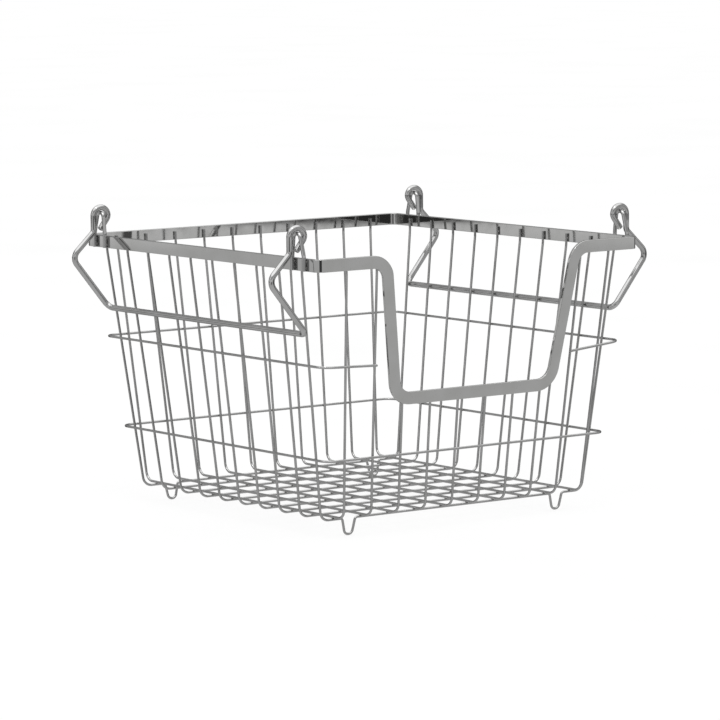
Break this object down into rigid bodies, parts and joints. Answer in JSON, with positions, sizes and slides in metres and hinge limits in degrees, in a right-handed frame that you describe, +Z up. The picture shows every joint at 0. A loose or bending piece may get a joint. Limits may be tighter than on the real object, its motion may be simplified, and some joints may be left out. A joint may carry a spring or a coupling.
{
  "type": "shopping basket",
  "caption": "Chrome-plated wire carrying basket with sloping mesh walls, a flat-bar rim that dips at the front, two hoops, bent wire feet and two swinging bail handles.",
  "frame": {"origin": "on the floor under the middle of the basket, midway between the two handles and between the rim's front and back", "axes": "+X to the right-hand handle, +Y to the back, away from the dipped front, +Z up"},
  "size_m": [0.4732, 0.4124, 0.3113],
  "materials": {
    "mesh_wire": "polished plating",
    "rim_bar": "polished plating",
    "handle_wire": "polished plating"
  },
  "bodies": {
    "basket": {"rim_band": "rim_bar", "long_wire_1": "mesh_wire", "long_wire_2": "mesh_wire", "long_wire_3": "mesh_wire", "long_wire_4": "mesh_wire", "long_wire_5": "mesh_wire", "long_wire_6": "mesh_wire", "long_wire_7": "mesh_wire", "long_wire_8": "mesh_wire", "long_wire_9": "mesh_wire", "long_wire_10": "mesh_wire", "cross_wire_1": "mesh_wire", "cross_wire_2": "mesh_wire", "cross_wire_3": "mesh_wire", "cross_wire_4": "mesh_wire", "cross_wire_5": "mesh_wire", "cross_wire_6": "mesh_wire", "cross_wire_7": "mesh_wire", "cross_wire_8": "mesh_wire", "cross_wire_9": "mesh_wire", "cross_wire_10": "mesh_wire", "lower_hoop": "mesh_wire", "upper_hoop": "mesh_wire", "front_left_staple": "mesh_wire", "back_left_staple": "mesh_wire", "front_right_staple": "mesh_wire", "back_right_staple": "mesh_wire"},
    "left_bail": {"left_handle": "handle_wire"},
    "right_bail": {"right_handle": "handle_wire"}
  },
  "joints": [
    {"name": "left_handle_swing", "type": "hinge", "parent": "basket", "child": "left_bail", "pos_m": [-0.20247, 0, 0.303], "axis": [0, 1, 0], "range_deg": [-0.25, 308]},
    {"name": "right_handle_swing", "type": "hinge", "parent": "basket", "child": "right_bail", "pos_m": [0.20247, 0, 0.303], "axis": [0, -1, 0], "range_deg": [-0.25, 308]}
  ]
}
